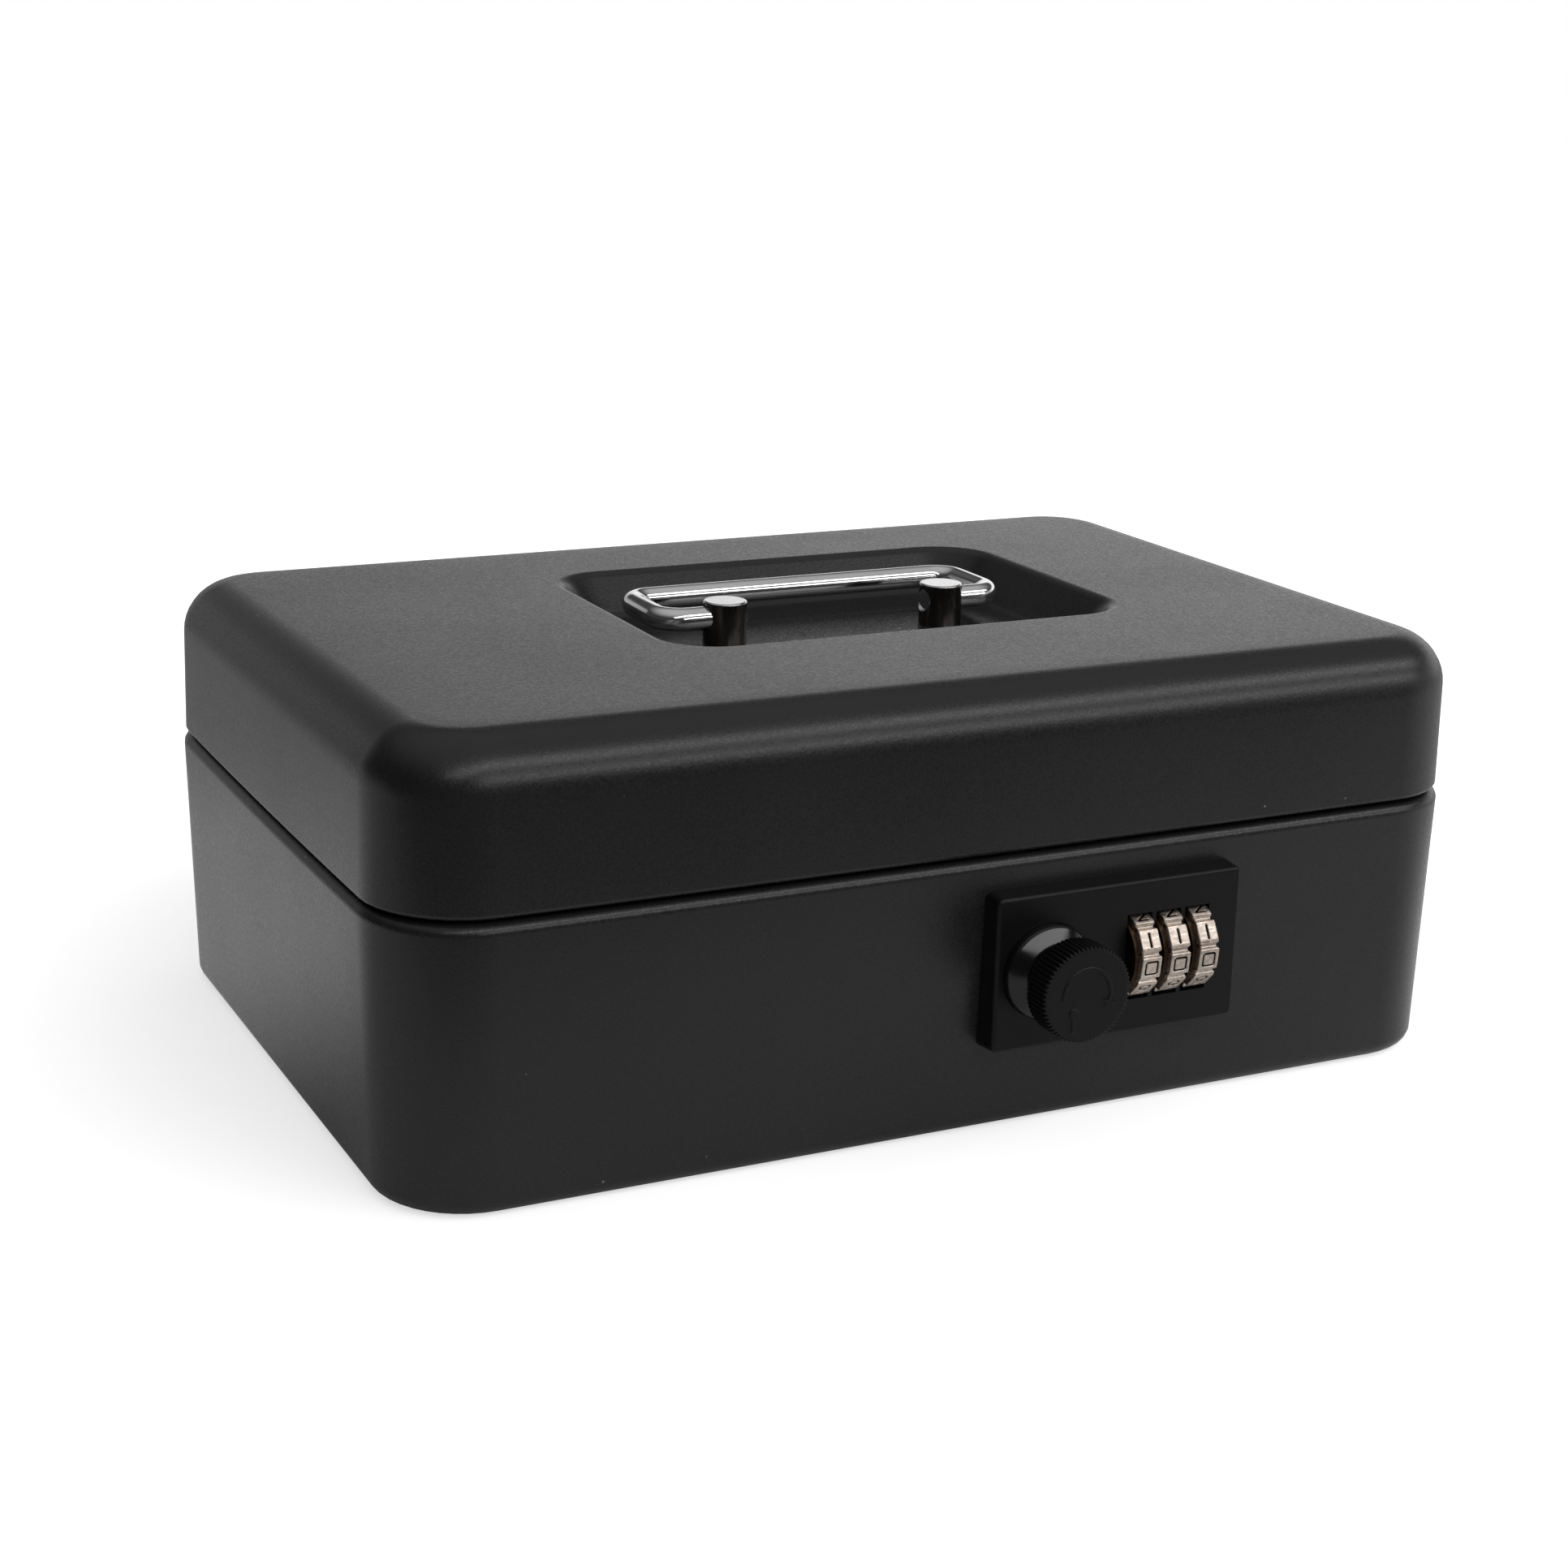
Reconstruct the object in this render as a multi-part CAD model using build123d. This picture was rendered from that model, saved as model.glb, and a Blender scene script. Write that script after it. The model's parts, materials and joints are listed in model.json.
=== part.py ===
from build123d import *
import math
import os

# A sheet-steel cash box with a hinged lid, a folding carrying handle and a three-wheel
# combination lock worked by a knob. Millimetres. +Z is up, the front is -Y, and the origin is
# the centre of the flat underside.

# ---- Driving dimensions ---------------------------------------------------------------------

# Whole box
WIDTH = 250.0                # outside, at the seam
DEPTH = 170.0                # outside, at the seam
HEIGHT = 95.0
SEAM_Z = 60.2                # height of the line between base and lid
SEAM_GAP = 0.8
SHEET = 1.0                  # steel thickness
CORNER_R = 21.0              # corner radius in plan, at the seam
DRAFT = 1.0                  # slope of the walls, degrees, widest at the seam
LID_EDGE_R = 11.5            # soft top edge of the lid
BASE_EDGE_R = 3.5            # bottom edge of the base
CURL_R = 1.5                 # outside radius where each rim is curled inward

# Rims
FLANGE_INSET = 5.0           # how far the base rim turns inward
LIP_TOP = SEAM_Z + 5.0       # top of the upright lip on the base rim
HEM_H = 5.5                  # height of the folded hem inside the lid

# Handle recess in the lid
RECESS_AT = (12.0, 8.0)      # centre of the recess on the lid
RECESS_X = 112.0             # opening
RECESS_Y = 78.0
RECESS_CORNER_R = 13.0
RECESS_DEPTH = 9.5
RECESS_RUN = 7.5             # how far its walls slope inward
RECESS_TOP_R = 3.0
RECESS_FLOOR_R = 4.0
BADGE = (30.0, 9.0)          # blank raised outline on the recess floor
BADGE_Y = -17.0

# Handle
POST_R = 5.0
POST_GAP = 27.8              # each post from the recess centre
POST_TOP = HEIGHT + 0.3
PIVOT_Z = HEIGHT - 3.5
WIRE_R = 2.7
BAIL_HALF_WIDTH = 42.4       # centre of the wire
BAIL_DEPTH = 23.0
BAIL_BEND_R = 6.0
BAIL_TIP_X = 24.8            # where the wire ends inside its post
POST_SCREW = 2.9             # how far its screw reaches into the post

# Hinges
HINGE_X = 75.0
HINGE_LEN = 30.0
HINGE_OUT = 2.5              # pin axis behind the rear wall
KNUCKLE_R = 3.2
PIN_R = 1.5
LEAF_T = 1.2
LEAF_H = 18.0
END_KNUCKLE = 9.0            # length of each of the two base knuckles

# Lock, seen from the front
PLATE_X = 29.7               # centre of the plate
PLATE_Z = 36.2
PLATE_W = 60.6
PLATE_H = 34.8
PLATE_PROUD = 6.0            # face in front of the wall
PLATE_FACE_T = 1.6
PLATE_SKIRT_T = 1.5
PLATE_TAPER = 0.8            # the face is smaller than the foot by this much, each side
WHEEL_R = 9.8
WHEEL_PROUD = 5.0            # wheels in front of the plate
WHEEL_PITCH = 7.1
WHEEL_MID_X = 41.4
SLOT_W = 6.1
SLOT_H = 18.8
WHEEL_FACES = 10
ZERO_DROP = 7.0              # how far below the front, in degrees, digit 0 stops
DIGIT_W = 2.8                # centre to centre of the upright strokes
DIGIT_H = 2.9
DIGIT_STROKE = 0.5
DIGIT_DEPTH = 0.3
WHEEL_TREAD = 4.8
CAM_FLANGE_T = 1.0
CAM_FLANGE_R = 8.4
CAM_FLAT = 7.25              # from the axle to the flat on each cam
AXLE_R = 2.0
KNOB_X = 12.2
KNOB_R = 10.2
KNOB_T = 7.2
KNOB_FRONT = 15.7            # knob face in front of the plate
KNURLS = 64
MARK_T = 0.25                # how far the marks stand out of the knob's face
COLLAR_R = 10.2
SPINDLE_R = 3.0
CRANK_R = 7.0                # crank pin from the spindle
CRANK_PIN_R = 1.2
HOOK_IN = 16.5               # inner and outer radius of the hook's arc
HOOK_OUT = 20.5
HOOK_ARM_ANGLE = -24.0       # where the arm points at rest, from +X
HOOK_TIP_ANGLE = 14.0        # where the arc's tip points at rest

# Coin tray
TRAY_T = 1.6
TRAY_DROP = 26.0             # how far its pockets hang below the rim
TRAY_CUPS = 4                # coin cups in the front row
TRAY_SPLIT = 8.0             # wall between the cups and the long pocket behind them

FIT = 0.05                   # radial clearance of a turning fit

# ---- Places that follow -----------------------------------------------------------------------

BASE_TOP = SEAM_Z - SEAM_GAP / 2
POST_Y = RECESS_AT[1]
POSTS = {"left": RECESS_AT[0] - POST_GAP, "right": RECESS_AT[0] + POST_GAP}
LID_BOTTOM = SEAM_Z + SEAM_GAP / 2
HINGE_Y = DEPTH / 2 + HINGE_OUT
FLOOR_Z = HEIGHT - RECESS_DEPTH                 # recess floor, outside
WALL_Y = -(DEPTH / 2 - (SEAM_Z - PLATE_Z) * math.tan(math.radians(DRAFT)))
FACE_Y = WALL_Y - PLATE_PROUD                   # plate face
AXLE_Y = FACE_Y - WHEEL_PROUD + WHEEL_R
WHEEL_X = [WHEEL_MID_X + i * WHEEL_PITCH for i in (-1, 0, 1)]
WHEEL_BACK = AXLE_Y + WHEEL_R
PAD_R = WHEEL_R * 0.985                         # from the axle to the flat of a number pad
SLIDE_Y = WHEEL_BACK + 0.5                      # front face of the fence slide
SLIDE_T = 1.2
HOOK_Y = SLIDE_Y + SLIDE_T + 0.4                # front face of the hook
HOOK_T = 2.0
CASE_BACK = HOOK_Y + HOOK_T + 2.5
COVER_T = 1.2
CRANK_REACH = CRANK_R * math.sin(math.radians(45))
SLIDE_MID = PLATE_Z - CRANK_REACH               # middle of the slide at rest
CASE_L, CASE_R = PLATE_X - 26.9, PLATE_X + 26.4 # outside of the case
CASE_IN_B, CASE_IN_T = PLATE_Z - 11.1, PLATE_Z + 11.1   # inside of the case, bottom and top
CASE_T = 1.2
OPEN_X0, OPEN_X1 = CASE_L + 1.6, CASE_R + 0.6   # opening in the front wall
OPEN_Z0, OPEN_Z1 = CASE_IN_B - 0.4, CASE_IN_T + 0.4
LOCK_SCREWS = [(PLATE_X + dx, PLATE_Z + dz) for dx in (-25.0, 25.0) for dz in (-14.6, 14.6)]
CORNER = CASE_T + 1.7                           # cover screws, in from the case's corners
COVER_SCREWS = [
    (x, z) for x in (CASE_L + CORNER, CASE_R - CORNER) for z in (CASE_IN_B + 1.7, CASE_IN_T - 1.7)
]
CHEEKS = (WHEEL_MID_X - 12.9, CASE_R - 1.6)     # left faces of the webs that carry the axle
STUD_X = (WHEEL_MID_X - 6.15, WHEEL_MID_X + 6.35)
RESET_X, RESET_Z = WHEEL_MID_X, PLATE_Z - 9.15
TRAY_FRONT = -DEPTH / 2 + 23
TRAY_BACK = DEPTH / 2 - 8


# ---- Small helpers ---------------------------------------------------------------------------

def block(x0, x1, y0, y1, z0, z1):
    """A box from its lowest to its highest corner."""
    return Pos((x0 + x1) / 2, (y0 + y1) / 2, (z0 + z1) / 2) * Box(x1 - x0, y1 - y0, z1 - z0)


def rod(radius, x, z, y0, y1):
    """A round bar along Y."""
    return Pos(x, (y0 + y1) / 2, z) * Rot(X=90) * Cylinder(radius, y1 - y0)


def cross_rod(radius, x0, x1, y, z):
    """A round bar along X."""
    return Pos((x0 + x1) / 2, y, z) * Rot(Y=90) * Cylinder(radius, x1 - x0)


def level(shape, z):
    """The edges that lie at one height."""
    return shape.edges().filter_by_position(Axis.Z, z - 0.01, z + 0.01)


def tub(inset):
    """The base's solid form, with its whole outside moved inward by inset."""
    plan = RectangleRounded(WIDTH - 2 * inset, DEPTH - 2 * inset, CORNER_R - inset)
    body = extrude(Pos(0, 0, BASE_TOP) * Rot(X=180) * plan, BASE_TOP - inset, taper=DRAFT)
    return fillet(level(body, inset), max(BASE_EDGE_R - inset, 0.8))


def dome(inset):
    """The lid's solid form, with its whole outside moved inward by inset."""
    plan = RectangleRounded(WIDTH - 2 * inset, DEPTH - 2 * inset, CORNER_R - inset)
    body = extrude(Pos(0, 0, LID_BOTTOM) * plan, HEIGHT - inset - LID_BOTTOM, taper=DRAFT)
    return fillet(level(body, HEIGHT - inset), LID_EDGE_R - inset)


def ring(inset_out, inset_in, z0, z1):
    """An upright band that follows the box's plan between two insets."""
    band = RectangleRounded(WIDTH - 2 * inset_out, DEPTH - 2 * inset_out, CORNER_R - inset_out)
    band -= RectangleRounded(WIDTH - 2 * inset_in, DEPTH - 2 * inset_in, CORNER_R - inset_in)
    return extrude(Pos(0, 0, z0) * band, z1 - z0)


def hinge_notch(side, z0, z1):
    """Room for one hinge in the rear wall and its rim."""
    half = HINGE_LEN / 2 + 0.6
    return block(side * HINGE_X - half, side * HINGE_X + half, DEPTH / 2 - 6.5, DEPTH / 2 + 1, z0, z1)


# ---- Base and lid ----------------------------------------------------------------------------

def base_shell():
    outer = tub(0)
    outer = fillet(level(outer, BASE_TOP), CURL_R)
    cavity = tub(SHEET) - block(-WIDTH, WIDTH, -DEPTH, DEPTH, BASE_TOP - SHEET, BASE_TOP + 1)
    mouth = RectangleRounded(
        WIDTH - 2 * FLANGE_INSET, DEPTH - 2 * FLANGE_INSET, CORNER_R - FLANGE_INSET
    )
    shell = outer - cavity - extrude(Pos(0, 0, BASE_TOP - 2) * mouth, 4)
    shell += ring(FLANGE_INSET - SHEET, FLANGE_INSET, BASE_TOP - SHEET, LIP_TOP)
    for side in (-1, 1):
        shell -= hinge_notch(side, SEAM_Z - KNUCKLE_R - 0.1, LIP_TOP + 1)
    shell -= block(OPEN_X0, OPEN_X1, -DEPTH / 2 - 1, -DEPTH / 2 + 4, OPEN_Z0, OPEN_Z1)
    for x, z in LOCK_SCREWS:
        shell -= rod(1.4, x, z, -DEPTH / 2 - 1, -DEPTH / 2 + 4)
    return shell


def recess_form(grow):
    """The sunk handle pocket as a solid, swelled outward by grow."""
    top = RectangleRounded(RECESS_X + 2 * grow, RECESS_Y + 2 * grow, RECESS_CORNER_R + grow)
    slope = math.degrees(math.atan2(RECESS_RUN, RECESS_DEPTH))
    start = Pos(*RECESS_AT, HEIGHT) * Rot(X=180) * top
    pocket = extrude(start, RECESS_DEPTH + grow, taper=slope)
    floor = level(pocket, FLOOR_Z - grow)
    return fillet(floor, RECESS_FLOOR_R + grow)


def lid_shell():
    outer = dome(0)
    outer = fillet(level(outer, LID_BOTTOM), CURL_R)
    skin = outer - dome(SHEET)
    hem = ring(2 * SHEET, 3 * SHEET, LID_BOTTOM, LID_BOTTOM + HEM_H)
    foot = ring(0.9 * SHEET, 3 * SHEET, LID_BOTTOM, LID_BOTTOM + SHEET)
    shell = skin + foot + hem
    shell += recess_form(SHEET) & dome(0)
    shell -= recess_form(0)
    for side in (-1, 1):
        shell -= hinge_notch(side, LID_BOTTOM - 1, SEAM_Z + KNUCKLE_R + 0.1)
        past_hem = Pos(0, -1.5, 0) * hinge_notch(side, LID_BOTTOM - 1, LID_BOTTOM + HEM_H + 1)
        shell -= past_hem & dome(SHEET + 0.6)
    for x in POSTS.values():
        shell -= Pos(x, POST_Y, FLOOR_Z) * Cylinder(2.1, 8)
    rim = [e for e in level(shell, HEIGHT) if in_recess(e.center())]
    shell = fillet(rim, RECESS_TOP_R)
    return shell + badge()


def in_recess(point):
    """Whether a point lies within the recess opening in plan."""
    dx, dy = point.X - RECESS_AT[0], point.Y - RECESS_AT[1]
    return abs(dx) < RECESS_X / 2 + 1 and abs(dy) < RECESS_Y / 2 + 1


def badge():
    """A blank raised pill outline on the recess floor."""
    length, height = BADGE
    pill = SlotOverall(length, height) - SlotOverall(length - 1.6, height - 1.6)
    return extrude(Pos(RECESS_AT[0], RECESS_AT[1] + BADGE_Y, FLOOR_Z - 0.2) * pill, 0.6)


def lid_striker():
    """Bracket welded inside the lid's front wall. The hook passes through its window."""
    front = -DEPTH / 2
    shelf_z = LID_BOTTOM + HEM_H + 1.5
    leaf = block(KNOB_X - 9, KNOB_X + 9, front, front + 8, shelf_z, shelf_z + 13)
    leaf = (leaf & dome(SHEET)) - dome(SHEET + LEAF_T)
    shelf = block(KNOB_X - 9, KNOB_X + 9, front, HOOK_Y + 5, shelf_z, shelf_z + LEAF_T)
    shelf = shelf & dome(SHEET)
    blade = block(
        KNOB_X - 0.75, KNOB_X + 0.75, HOOK_Y - 5, HOOK_Y + 5, PLATE_Z + 13.8, shelf_z + LEAF_T
    )
    window = block(
        KNOB_X - 2, KNOB_X + 2, HOOK_Y - 0.6, HOOK_Y + HOOK_T + 0.6,
        PLATE_Z + HOOK_IN - 0.6, PLATE_Z + HOOK_OUT + 0.7,
    )
    return leaf + shelf + blade - window


# ---- Hinges ----------------------------------------------------------------------------------

def knuckle(x0, x1, bore):
    barrel = cross_rod(KNUCKLE_R, x0, x1, HINGE_Y, SEAM_Z)
    return barrel - cross_rod(bore, x0 - 1, x1 + 1, HINGE_Y, SEAM_Z)


def hinge_leaf_base(side):
    x = side * HINGE_X
    half = HINGE_LEN / 2
    tongue_z = SEAM_Z - KNUCKLE_R
    top = tongue_z + LEAF_T
    leaf = block(x - half, x + half, DEPTH / 2 - 8, DEPTH / 2, top - LEAF_H, top)
    leaf = (leaf & tub(SHEET)) - tub(SHEET + LEAF_T)
    for x0 in (x - half, x + half - END_KNUCKLE):
        tongue = block(x0, x0 + END_KNUCKLE, DEPTH / 2 - 1.6, HINGE_Y, tongue_z, top)
        leaf += tongue - cross_rod(PIN_R, x0 - 1, x0 + END_KNUCKLE + 1, HINGE_Y, SEAM_Z)
        leaf += knuckle(x0, x0 + END_KNUCKLE, PIN_R)
    return leaf


def hinge_leaf_lid(side):
    x = side * HINGE_X
    half = HINGE_LEN / 2
    tongue_z = SEAM_Z + KNUCKLE_R - LEAF_T
    leaf = block(x - half, x + half, DEPTH / 2 - 8, DEPTH / 2, tongue_z, tongue_z + LEAF_H)
    leaf = (leaf & dome(SHEET)) - dome(SHEET + LEAF_T)
    inner = half - END_KNUCKLE - 0.3
    leaf += block(x - inner, x + inner, DEPTH / 2 - 1.6, HINGE_Y, tongue_z, tongue_z + LEAF_T)
    leaf += knuckle(x - inner, x + inner, PIN_R + FIT)
    return leaf


def hinge_pin(side):
    half = HINGE_LEN / 2 + 0.5
    pin = cross_rod(PIN_R, side * HINGE_X - half, side * HINGE_X + half, HINGE_Y, SEAM_Z)
    return chamfer(pin.edges().filter_by(GeomType.CIRCLE), 0.3)


# ---- Handle ----------------------------------------------------------------------------------

def handle_post(x):
    post = Pos(x, POST_Y, (FLOOR_Z + POST_TOP) / 2) * Cylinder(POST_R, POST_TOP - FLOOR_Z)
    post = fillet(level(post, POST_TOP), 0.5)
    post -= cross_rod(WIRE_R + FIT, x - POST_R - 1, x + POST_R + 1, POST_Y, PIVOT_Z)
    return post - Pos(x, POST_Y, FLOOR_Z) * Cylinder(2.0, 2 * POST_SCREW + 0.4)


def handle_bail():
    """Round wire, lying flat towards the rear, its ends turned inward into the posts."""
    w, d, r = BAIL_HALF_WIDTH, BAIL_DEPTH, BAIL_BEND_R
    corners = [(-BAIL_TIP_X, 0), (-w, 0), (-w, d), (w, d), (w, 0), (BAIL_TIP_X, 0)]
    centre = RECESS_AT[0]
    path = FilletPolyline(*[(centre + x, POST_Y + y, PIVOT_Z) for x, y in corners], radius=r)
    start = Plane(origin=path @ 0, z_dir=path % 0)
    return sweep(start * Circle(WIRE_R), path=path)


def handle_washers():
    ring_flat = Cylinder(4.5, 1.0) - Cylinder(2.15, 2)
    z = FLOOR_Z - SHEET - 0.5
    return [Pos(x, POST_Y, z) * ring_flat for x in POSTS.values()]


def handle_screws():
    z = FLOOR_Z - SHEET - 1.0
    screw = Pos(0, 0, z - 1.2) * Cylinder(3.5, 2.4)
    screw = fillet(level(screw, z - 2.4), 0.8)
    tip = FLOOR_Z + POST_SCREW
    screw += Pos(0, 0, (z + tip) / 2) * Cylinder(2.0, tip - z)
    for angle in (0, 90):
        screw -= Pos(0, 0, z - 2.2) * Rot(Z=angle) * Box(4.4, 0.9, 2.2)
    return [Pos(x, POST_Y, 0) * screw for x in POSTS.values()]


# ---- Lock: what the front shows --------------------------------------------------------------

def lock_plate():
    foot = Pos(PLATE_X, -DEPTH / 2 + 4, PLATE_Z) * Rot(X=90) * RectangleRounded(PLATE_W, PLATE_H, 2.2)
    depth = -DEPTH / 2 + 4 - FACE_Y
    lean = math.degrees(math.atan2(PLATE_TAPER, depth))
    plate = extrude(foot, depth, taper=lean)
    front = plate.edges().filter_by_position(Axis.Y, FACE_Y - 0.01, FACE_Y + 0.01)
    plate = fillet(front, 0.9)
    plate -= block(
        PLATE_X - PLATE_W / 2 + PLATE_SKIRT_T, PLATE_X + PLATE_W / 2 - PLATE_SKIRT_T,
        FACE_Y + PLATE_FACE_T, 0,
        PLATE_Z - PLATE_H / 2 + PLATE_SKIRT_T, PLATE_Z + PLATE_H / 2 - PLATE_SKIRT_T,
    )
    for x, z in LOCK_SCREWS:
        plate += rod(1.9, x, z, FACE_Y + PLATE_FACE_T, WALL_Y + 2)
    plate += rod(SPINDLE_R + 2.4, KNOB_X, PLATE_Z, FACE_Y + PLATE_FACE_T, WALL_Y + 5)
    plate -= tub(0) - rod(SPINDLE_R + 2.4, KNOB_X, PLATE_Z, WALL_Y - 5, WALL_Y + 10)
    for x, z in LOCK_SCREWS:
        plate -= rod(1.25, x, z, FACE_Y + 2.4, WALL_Y + 5)
    for x in WHEEL_X:
        x0, x1 = x - SLOT_W / 2, x + SLOT_W / 2
        plate -= block(x0, x1, FACE_Y - 1, FACE_Y + 3, PLATE_Z - SLOT_H / 2, PLATE_Z + SLOT_H / 2)
        plate -= cross_rod(WHEEL_R + 0.25, x0, x1, AXLE_Y, PLATE_Z)
    plate -= rod(COLLAR_R + 0.1, KNOB_X, PLATE_Z, FACE_Y - 1, FACE_Y + 0.6)
    return plate - rod(SPINDLE_R + FIT, KNOB_X, PLATE_Z, FACE_Y - 1, WALL_Y + 10)


def knob_collar():
    back = FACE_Y + 0.6
    profile = Plane.YZ * make_face([
        Line((back, 5.4), (back, COLLAR_R)),
        Line((back, COLLAR_R), (back - 1.4, COLLAR_R)),
        ThreePointArc((back - 1.4, COLLAR_R), (back - 3.9, COLLAR_R - 1.1), (back - 5.2, 6.9)),
        Line((back - 5.2, 6.9), (back - 5.2, 5.4)),
        Line((back - 5.2, 5.4), (back, 5.4)),
    ])
    return Pos(KNOB_X, 0, PLATE_Z) * revolve(profile, Axis.Y)


def knurled_disc(radius, thickness):
    """A short round grip with fine V grooves all round."""
    points = []
    for i in range(KNURLS):
        for share, r in ((0.0, radius), (0.55, radius), (0.775, radius - 0.38)):
            angle = 2 * math.pi * (i + share) / KNURLS
            points.append((r * math.cos(angle), r * math.sin(angle)))
    return extrude(make_face(Polyline(*points, close=True)), thickness)


def knob():
    face = FACE_Y - KNOB_FRONT
    head = Rot(X=90) * knurled_disc(KNOB_R, KNOB_T)
    head = Pos(KNOB_X, face + KNOB_T, PLATE_Z) * head
    bound = rod(KNOB_R, KNOB_X, PLATE_Z, face, face + KNOB_T)
    bound = chamfer(bound.edges().filter_by(GeomType.CIRCLE), 0.7)
    head = head & bound
    neck = rod(5.3, KNOB_X, PLATE_Z, face + KNOB_T - 1, FACE_Y + 0.4)
    head = head + neck + turn_arrow(face)
    return head - rod(SPINDLE_R, KNOB_X, PLATE_Z, face + 3, FACE_Y + 5)


def turn_arrow(face):
    """Raised round arrow and a short index bar on the knob's face."""
    bow = SlotArc(CenterArc((0, 0), 5.6, -15, 175), 0.8)
    tip = Polygon((3.9, -1.4), (7.1, -1.4), (5.5, -4.1), align=None)
    index = Pos(-3.0, -6.2) * Rectangle(1.1, 2.8) + Pos(-3.0, -3.6) * Circle(1.1)
    marks = extrude(bow, MARK_T) + extrude(tip, MARK_T) + extrude(index, MARK_T)
    return Pos(KNOB_X, face, PLATE_Z) * Rot(X=90) * marks


def to_face(i):
    """Turns a shape at the front of a wheel to the face of digit i."""
    turn = ZERO_DROP - 360 / WHEEL_FACES * i
    return Pos(0, AXLE_Y, PLATE_Z) * Rot(X=turn) * Pos(0, -AXLE_Y, -PLATE_Z)


def wheel_pad(x0, x1):
    """One raised number pad, at the front of a wheel."""
    half = WHEEL_R * math.tan(math.pi / WHEEL_FACES) - 0.5
    front = AXLE_Y - PAD_R
    return block(x0 + 0.2, x1 - 0.2, front, AXLE_Y - 6, PLATE_Z - half, PLATE_Z + half)


def digit_strokes(i):
    """Digit i as plain bars on the XY plane, centred. 1 is a single upright bar."""
    if i == 1:
        return Rectangle(DIGIT_STROKE, DIGIT_H)
    w, h, t = DIGIT_W / 2, DIGIT_H / 2, DIGIT_STROKE
    bars = {
        "top": (0, h, 2 * w + t, t), "middle": (0, 0, 2 * w + t, t), "bottom": (0, -h, 2 * w + t, t),
        "upper_left": (-w, h / 2, t, h), "upper_right": (w, h / 2, t, h),
        "lower_left": (-w, -h / 2, t, h), "lower_right": (w, -h / 2, t, h),
    }
    missing = {
        0: ("middle",), 2: ("upper_left", "lower_right"), 3: ("upper_left", "lower_left"),
        4: ("top", "bottom", "lower_left"), 5: ("upper_right", "lower_left"), 6: ("upper_right",),
        7: ("middle", "bottom", "upper_left", "lower_left"), 8: (), 9: ("lower_left",),
    }[i]
    kept = [Pos(x, y) * Rectangle(bw, bh) for name, (x, y, bw, bh) in bars.items() if name not in missing]
    outline = kept[0]
    for bar in kept[1:]:
        outline += bar
    return outline


def number_wheel(x):
    x0 = x - SLOT_W / 2 + 0.15 + CAM_FLANGE_T
    x1 = x0 + WHEEL_TREAD
    wheel = cross_rod(WHEEL_R - 0.75, x0, x1, AXLE_Y, PLATE_Z)
    for i in range(WHEEL_FACES):
        wheel += to_face(i) * wheel_pad(x0, x1)
    wheel = wheel & cross_rod(WHEEL_R, x0, x1, AXLE_Y, PLATE_Z)
    floor = Pos((x0 + x1) / 2, AXLE_Y - PAD_R + DIGIT_DEPTH, PLATE_Z) * Rot(X=90)
    for i in range(WHEEL_FACES):
        wheel -= to_face(i) * floor * extrude(digit_strokes(i), 1.0)
    return wheel - cross_rod(5.0, x0 - 1, x1 + 1, AXLE_Y, PLATE_Z)


def wheel_cam(x):
    """Hub of one wheel, with the flange whose flat lets the fence pass."""
    x0 = x - SLOT_W / 2 + 0.15
    flange = cross_rod(CAM_FLANGE_R, x0, x0 + CAM_FLANGE_T, AXLE_Y, PLATE_Z)
    flange -= block(x0 - 1, x0 + 2, AXLE_Y + CAM_FLAT, AXLE_Y + 20, PLATE_Z - 12, PLATE_Z + 12)
    hub = cross_rod(5.0, x0, x0 + CAM_FLANGE_T + WHEEL_TREAD, AXLE_Y, PLATE_Z)
    return flange + hub - cross_rod(AXLE_R + FIT, x0 - 1, x0 + 9, AXLE_Y, PLATE_Z)


# ---- Lock: what the case holds ---------------------------------------------------------------

def lock_case():
    inside = block(CASE_L + CASE_T, CASE_R - CASE_T, -DEPTH / 2, CASE_BACK + 1, CASE_IN_B, CASE_IN_T)
    case = block(CASE_L, CASE_R, -DEPTH / 2, CASE_BACK, CASE_IN_B - CASE_T, CASE_IN_T + CASE_T)
    flange = block(
        PLATE_X - 29.5, PLATE_X + 29.5, -DEPTH / 2, -DEPTH / 2 + 6, PLATE_Z - 16.6, PLATE_Z + 16.6
    )
    flange -= tub(SHEET + 1.4)
    case = ((case + flange) & tub(SHEET)) - inside
    for x, z in COVER_SCREWS:
        case += rod(1.8, x, z, SLIDE_Y + SLIDE_T + 0.3, CASE_BACK)
        case -= rod(1.0, x, z, SLIDE_Y + SLIDE_T + 0.3, CASE_BACK + 1)
    for x0 in CHEEKS:
        case += cheek(x0)
    case -= block(
        CASE_L + 4.8, WHEEL_MID_X - 8.9, HOOK_Y - 6.5, CASE_BACK + 1, CASE_IN_T - 0.1, CASE_IN_T + 5
    )
    for x, z in LOCK_SCREWS:
        case -= rod(1.4, x, z, -DEPTH / 2 - 1, -DEPTH / 2 + 8)
    return case - cross_rod(AXLE_R, CHEEKS[0] - 1, CASE_R + 1, AXLE_Y, PLATE_Z)


def cheek(x0):
    """An upright web that carries one end of the wheel axle."""
    web = block(x0, x0 + 1.6, -DEPTH / 2 + 2, WHEEL_BACK - 0.1, CASE_IN_B - 0.1, CASE_IN_T + 0.1)
    return web + block(x0, x0 + 1.6, AXLE_Y - 3.2, -DEPTH / 2 + 3, PLATE_Z - 5, PLATE_Z + 5)


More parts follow.
